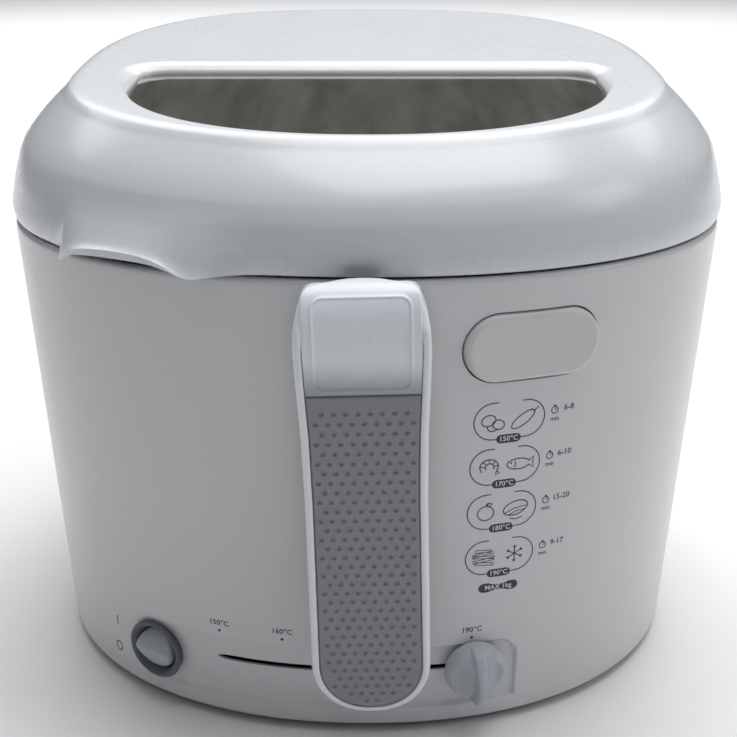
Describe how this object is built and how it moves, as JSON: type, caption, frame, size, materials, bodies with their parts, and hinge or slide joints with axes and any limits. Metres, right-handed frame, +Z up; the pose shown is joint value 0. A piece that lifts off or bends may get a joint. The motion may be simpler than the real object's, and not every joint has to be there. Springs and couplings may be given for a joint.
{
  "type": "deep fryer",
  "caption": "Household deep fryer: oval cool-wall casing, hinged lid with viewing window, folding basket handle, lid button, temperature slider and power rocker.",
  "frame": {"origin": "on the table plane under the middle of the overall length and width", "axes": "+Z up; +X to the right of a person facing the front; the front faces -Y"},
  "size_m": [0.305, 0.322, 0.2645],
  "materials": {
    "white_shell": "satin white moulding",
    "grey_grip": "matt dark grey, dimpled",
    "light_grey_plastic": "satin cool light grey",
    "dark_plastic": "matt dark grey",
    "bezel_grey": "satin dark grey",
    "inner_plastic": "natural inner moulding",
    "window_smoke": "smoked clear plastic",
    "nonstick": "non-stick coated",
    "wire_steel": "bright wire",
    "sheet_steel": "plain sheet",
    "element_steel": "heat-darkened tube",
    "rubber_black": "matt",
    "filter_metal": "woven"
  },
  "bodies": {
    "housing": {"outer_casing": "white_shell", "base_plate": "inner_plastic", "foot_front_left": "rubber_black", "foot_front_right": "rubber_black", "foot_rear_left": "rubber_black", "foot_rear_right": "rubber_black", "base_screw_front_left": "sheet_steel", "base_screw_front_right": "sheet_steel", "base_screw_rear_left": "sheet_steel", "base_screw_rear_right": "sheet_steel", "fry_bowl": "nonstick", "heating_element": "element_steel", "heat_shield": "sheet_steel", "thermal_cutout": "dark_plastic", "terminal_block": "inner_plastic", "cord_gland": "rubber_black", "thermostat_body": "inner_plastic", "switch_body": "dark_plastic", "switch_bezel": "bezel_grey", "handle_mount": "inner_plastic", "handle_pin": "sheet_steel", "hinge_pin_left": "sheet_steel", "hinge_pin_right": "sheet_steel"},
    "lid": {"lid_cover": "white_shell", "window_pane": "window_smoke", "lid_liner": "sheet_steel", "liner_screw_front_left": "sheet_steel", "liner_screw_front_right": "sheet_steel", "liner_screw_rear_left": "sheet_steel", "liner_screw_rear_right": "sheet_steel", "filter_frame": "inner_plastic", "filter_mesh": "filter_metal", "lid_gasket": "rubber_black", "lid_catch": "inner_plastic"},
    "button": {"lid_button": "light_grey_plastic", "latch_plate": "inner_plastic"},
    "handle": {"handle_frame": "white_shell", "handle_pad": "light_grey_plastic", "grip_insert": "grey_grip"},
    "basket": {"fry_basket": "wire_steel", "basket_rim": "wire_steel", "basket_carrier": "wire_steel"},
    "slider": {"thermostat_knob": "light_grey_plastic", "thermostat_shoe": "dark_plastic"},
    "rocker": {"rocker_cap": "light_grey_plastic"}
  },
  "joints": [
    {"name": "lid_hinge", "type": "hinge", "parent": "housing", "child": "lid", "pos_m": [0, 0.156, 0.192], "axis": [-1, 0, 0], "range_deg": [0, 80]},
    {"name": "lid_button_press", "type": "slide", "parent": "housing", "child": "button", "axis": [-0.3074, 0.9516, 0], "range_m": [0, 0.004], "stiffness_N_per_m": 500, "springref_m": -0.002},
    {"name": "handle_fold", "type": "hinge", "parent": "housing", "child": "handle", "pos_m": [-0.0019, -0.1505, 0.186], "axis": [-0.9997, 0, -0.0253], "range_deg": [0, 85]},
    {"name": "basket_lift", "type": "slide", "parent": "housing", "child": "basket", "axis": [0, 0, 1], "range_m": [0, 0.02]},
    {"name": "thermostat_slide", "type": "hinge", "parent": "housing", "child": "slider", "pos_m": [0, 0.0646, 0.0303], "axis": [0, 0, -1], "range_deg": [0, 29.5]},
    {"name": "power_rocker", "type": "hinge", "parent": "housing", "child": "rocker", "pos_m": [-0.08609, -0.11047, 0.0266], "axis": [0.859, -0.512, 0], "range_deg": [0, 14]}
  ],
  "couplings": [
    {"joint": "basket_lift", "follows": "handle_fold", "m_per_rad": 0.01345}
  ]
}
